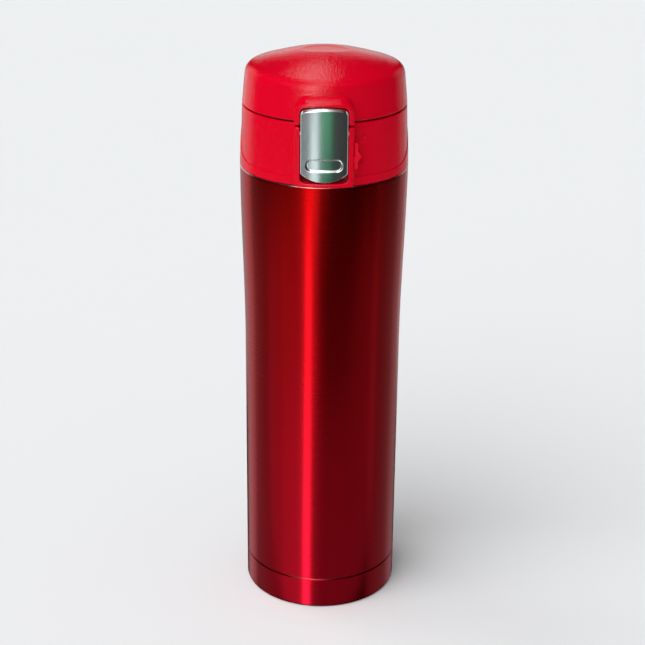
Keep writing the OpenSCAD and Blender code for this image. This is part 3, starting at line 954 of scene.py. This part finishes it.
def make_button():
    """The button: chrome plate with its recess, on a dark lever with a spine and a hook."""
    plate_t = 1.0
    plate = slab("button_face", button_outline(0, BUTTON_LOW), -FRONT, -FRONT + plate_t)

    def lean(x, y, z):
        share = ease(max(0, min(1, (z - BUTTON_TOP + 3.6) / 2.6)))
        return x, y, z - (1.1 * share if y < -FRONT + 0.5 else 0)

    move_points(plate, lean)
    middle = BUTTON_LOW + 6.9
    end_x, end_r = 4.9, 2.6
    sides = circle_points(end_x, middle, end_r, -90, 90, 14)
    sides += circle_points(-end_x, middle, end_r, 90, 270, 14)
    hollow = slab("recess", sides, -FRONT - 0.1, -FRONT + 0.75)

    def draft(x, y, z):
        inward = 0.6 if y > -FRONT else -0.08
        centre_x = max(-end_x, min(end_x, x))
        share = 1 - inward / end_r
        return centre_x + (x - centre_x) * share, y, middle + (z - middle) * share

    move_points(hollow, draft)
    cut(plate, hollow)
    soften(plate, 0.28, 3, 25)
    slice_across(plate, BUTTON_X, 0.7)
    bow(plate, FRONT)

    def plate_finish(centre, normal):
        if normal.y < -0.93:
            return 0
        hollow_wall = abs(centre.z - middle) < end_r + 0.4 and abs(centre.x) < end_x + end_r + 0.4
        return 1 if hollow_wall or centre.z > BUTTON_TOP - 4.5 and abs(centre.x) < BUTTON_X - 0.7 else 2

    # Faces that are neither the front nor the polished hollow and top take the pale rim chrome, a painted
    # highlight.
    paint_faces(plate, (CHROME, POLISHED, RIM_PAINTED_HIGHLIGHT), plate_finish)
    finish_piece(plate, "button", ["button_plate"], CHROME, 20)

    outline = button_outline(0.25, low("button_lever", "z"))
    lever = slab("button_arm", outline, -FRONT + plate_t, LEVER_BACK - 1.2)
    soften(lever, 0.3)
    slice_across(lever, BUTTON_X, 0.9)
    bow(lever, FRONT)
    spine_x, hook_x = 7, 5
    spine = block(
        "lever_spine", (-spine_x, LEVER_BACK - 1.4, BUTTON_LOW + 3), (spine_x, LEVER_BACK, BUTTON_TOP - 1.5))
    for part in (lever, spine):
        cut(part, spring_pocket())
    nose = block(
        "hook", (-hook_x, LEVER_BACK - 0.5, SHOULDER + 27.2), (hook_x, LEVER_BACK + 0.4, SHOULDER + 28.8))
    join(lever, soften(spine, 0.3), soften(nose, 0.15))
    finish_piece(lever, "button", ["button_lever"], DARK)


def make_slider():
    """The lock's slider, with its pointed thumb tip and the finger that reaches under the lever."""
    inner, outer = HOUSING_X + 0.2, HOUSING_X + 1.4
    bottom, top = low("lock_slider", "z"), high("lock_slider", "z")
    middle = (bottom + top) / 2
    tip = high("lock_slider", "x")
    outline = rounded([
        (inner, bottom, 0.1), (outer, bottom, 0.35), (outer, middle - 2.2, 0.4), (tip, middle, 0.5),
        (outer, middle + 2.2, 0.4), (outer, top, 0.35), (inner, top, 0.1)])
    knob = slab("lock_knob", outline, low("lock_slider", "y"), high("lock_slider", "y"))
    soften(knob, 0.2, 3)
    finger = block(
        "finger", (POCKET_X + 0.2, PIN_Y - 0.6, bottom + 2.2), (inner + 0.5, PIN_Y + 0.8, bottom + 5.2))
    join(knob, soften(finger, 0.15))
    finish_piece(knob, "slider", ["lock_slider"], RED)


# ---- CAD nodes that keep their shape ------------------------------------


def dress_nodes():
    """Gives the hidden CAD nodes their real finishes."""
    finishes = {
        "copper_foil": COPPER, "vacuum_bottom": STEEL_FINISH, "vacuum_seal": GLASS, "getter": GETTER,
        "spout_gasket": SILICONE, "button_spring": WIRE,
    }
    for name, finish in finishes.items():
        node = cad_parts[name]
        node.data.materials.clear()
        node.data.materials.append(finish)


# ---- stage, light and camera --------------------------------------------


def make_stage():
    """A pale paper floor under soft white air."""
    deselect()
    bpy.ops.mesh.primitive_plane_add(size=80, location=(0, 0, -0.0002))
    floor = bpy.context.object
    floor.name = "studio_floor"
    recipe = Recipe("studio_paper", Roughness=0.9, Specular_IOR_Level=0.0)
    recipe.give("Base Color", recipe.blend(
        recipe.noise((3, 3, 3)), (0.86, 0.877, 0.893, 1), (0.868, 0.885, 0.9, 1)))
    floor.data.materials.append(recipe.material)
    floor.visible_glossy = False
    floor.visible_shadow = False

    world = bpy.data.worlds.new("studio_air")
    bpy.context.scene.world = world
    world.use_nodes = True
    world.node_tree.nodes["Background"].inputs["Color"].default_value = (1.0, 1.0, 1.0, 1)
    world.node_tree.nodes["Background"].inputs["Strength"].default_value = 0.36
    world.cycles_visibility.glossy = False


def soft_box(name, place_at, aim, width, height, radiance, colour=(1, 1, 1), mirrored=True):
    """A panel of a given radiance, seen in reflections only or lighting matt surfaces only."""
    light = bpy.data.lights.new(name, "AREA")
    light.shape = "RECTANGLE"
    light.size, light.size_y = width, height
    light.energy = radiance * math.pi * width * height
    light.color = colour
    box = bpy.data.objects.new(name, light)
    box.location = place_at
    box.rotation_euler = (Vector(aim) - Vector(place_at)).to_track_quat("-Z", "Y").to_euler()
    box.visible_camera = False
    box.visible_diffuse = not mirrored
    box.visible_glossy = mirrored
    bpy.context.scene.collection.objects.link(box)
    return box


def upright_card(name, start, end, distance, bottom, top, radiance, colour=(1, 1, 1)):
    """An upright reflection card between two directions, measured to the right of the front.

    Distance, bottom and top are in metres, as everywhere on the stage.
    """
    middle = math.radians((start + end) / 2)
    width = 2 * distance * math.tan(math.radians((end - start) / 2))
    height = (bottom + top) / 2
    at = (distance * math.sin(middle), -distance * math.cos(middle), height)
    soft_box(name, at, (0, 0, height), width, top - bottom, radiance, colour)


def soft_sun(name, azimuth, elevation, strength, spread):
    """A wide distant light for matt surfaces only, from a direction to the right of the front."""
    light = bpy.data.lights.new(name, "SUN")
    light.energy = strength
    light.angle = math.radians(spread)
    sun = bpy.data.objects.new(name, light)
    a, e = math.radians(azimuth), math.radians(elevation)
    towards = Vector((math.sin(a) * math.cos(e), -math.cos(a) * math.cos(e), math.sin(e)))
    sun.location = towards
    sun.rotation_euler = towards.to_track_quat("Z", "Y").to_euler()
    sun.visible_glossy = False
    bpy.context.scene.collection.objects.link(sun)


def make_lights():
    """Strips and panels for the reflections, each named for what mirrors it, and two soft suns."""
    upright_card("upper_strip", -23, -13, 1.0, 0.14, 1.2, 4.2)
    upright_card("lower_strip", -25.3, -16.8, 1.0, -1.2, -0.24, 4.1)
    upright_card("plate_strip", -16.5, -6.5, 1.0, -0.2, 0.0, 1.7, (0.85, 1.0, 1.0))
    upright_card("plate_left", -32, -18, 1.0, -0.11, 0.02, 0.32, (0.85, 0.95, 1.0))
    upright_card("plate_green", -5, 9, 0.95, -0.08, 0.08, 0.52, (0.22, 1.0, 0.52))
    upright_card("plate_right", 11, 34, 1.0, -0.09, 0.04, 0.07)
    upright_card("near_left_card", -60, -26, 1.1, -1.2, -0.16, 0.42)
    upright_card("left_card", -115, -60, 1.2, -1.2, -0.16, 0.27)
    upright_card("left_back_card", -150, -117, 1.2, -0.9, -0.08, 0.5)
    upright_card("left_back_upper", -156, -118, 1.2, -0.08, 0.8, 0.68)
    upright_card("right_back_card", 125, 155, 1.2, -0.9, -0.08, 0.3)
    upright_card("right_back_upper", 125, 155, 1.2, -0.08, 0.7, 0.36)
    upright_card("right_card", 78, 125, 1.2, -1.2, -0.16, 0.2)
    upright_card("near_right_card", 12, 78, 1.2, -1.2, -0.16, 0.04)
    upright_card("front_card", -42, 8, 1.12, 0.165, 1.35, 1.1)
    upright_card("front_core", -29, 0, 1.1, 0.165, 1.35, 1.2)
    soft_box("back_low", (0, 1.3, -0.18), (0, 0, -0.18), 1.5, 0.76, 0.4)
    soft_box("back_oval", (0, 1.3, 0.47), (0, 0, 0.47), 0.46, 1.02, 0.62).data.shape = "ELLIPSE"
    soft_box("crown_card", (-0.11, 0.79, 1.4), (-0.11, 0.79, 0), 0.32, 0.97, 2.1)
    soft_box("over_card", (-0.13, -0.35, 1.4), (-0.13, -0.35, 0), 0.46, 1.3, 2.1)
    soft_box("brow_card", (-0.1, -0.85, 1.39), (-0.1, -0.85, 0), 1.5, 0.5, 0.55)
    soft_box("floor_card", (0, -0.15, -0.01), (0, -0.15, 1), 0.9, 0.22, 0.2)
    soft_sun("key", -42, 45, 2.3, 60)
    soft_sun("shadow_key", -115, 55, 0.42, 28)


def make_camera():
    """The camera, above and in front of the flask."""
    camera = bpy.data.cameras.new("studio_camera")
    camera.lens = 87.29
    camera.shift_y = -0.0105
    camera.clip_start = 0.01
    eye = bpy.data.objects.new("studio_camera", camera)
    pitch, roll = math.radians(67.74), math.radians(0.585)
    aim = Matrix.Rotation(pitch, 4, "X") @ Matrix.Rotation(roll, 4, "Z")
    eye.matrix_world = Matrix.Translation((0, -0.6269, 0.3825)) @ aim
    bpy.context.scene.collection.objects.link(eye)
    bpy.context.scene.camera = eye
    bpy.context.scene.view_settings.view_transform = "Standard"


make_camera()
make_stage()
make_lights()
make_body()
make_base()
make_inner_vessel()
make_gasket()
make_cap()
make_trim()
make_spout()
make_housing()
make_pins()
make_springs()
make_lid()
make_liner()
make_seal()
make_button()
make_slider()
dress_nodes()
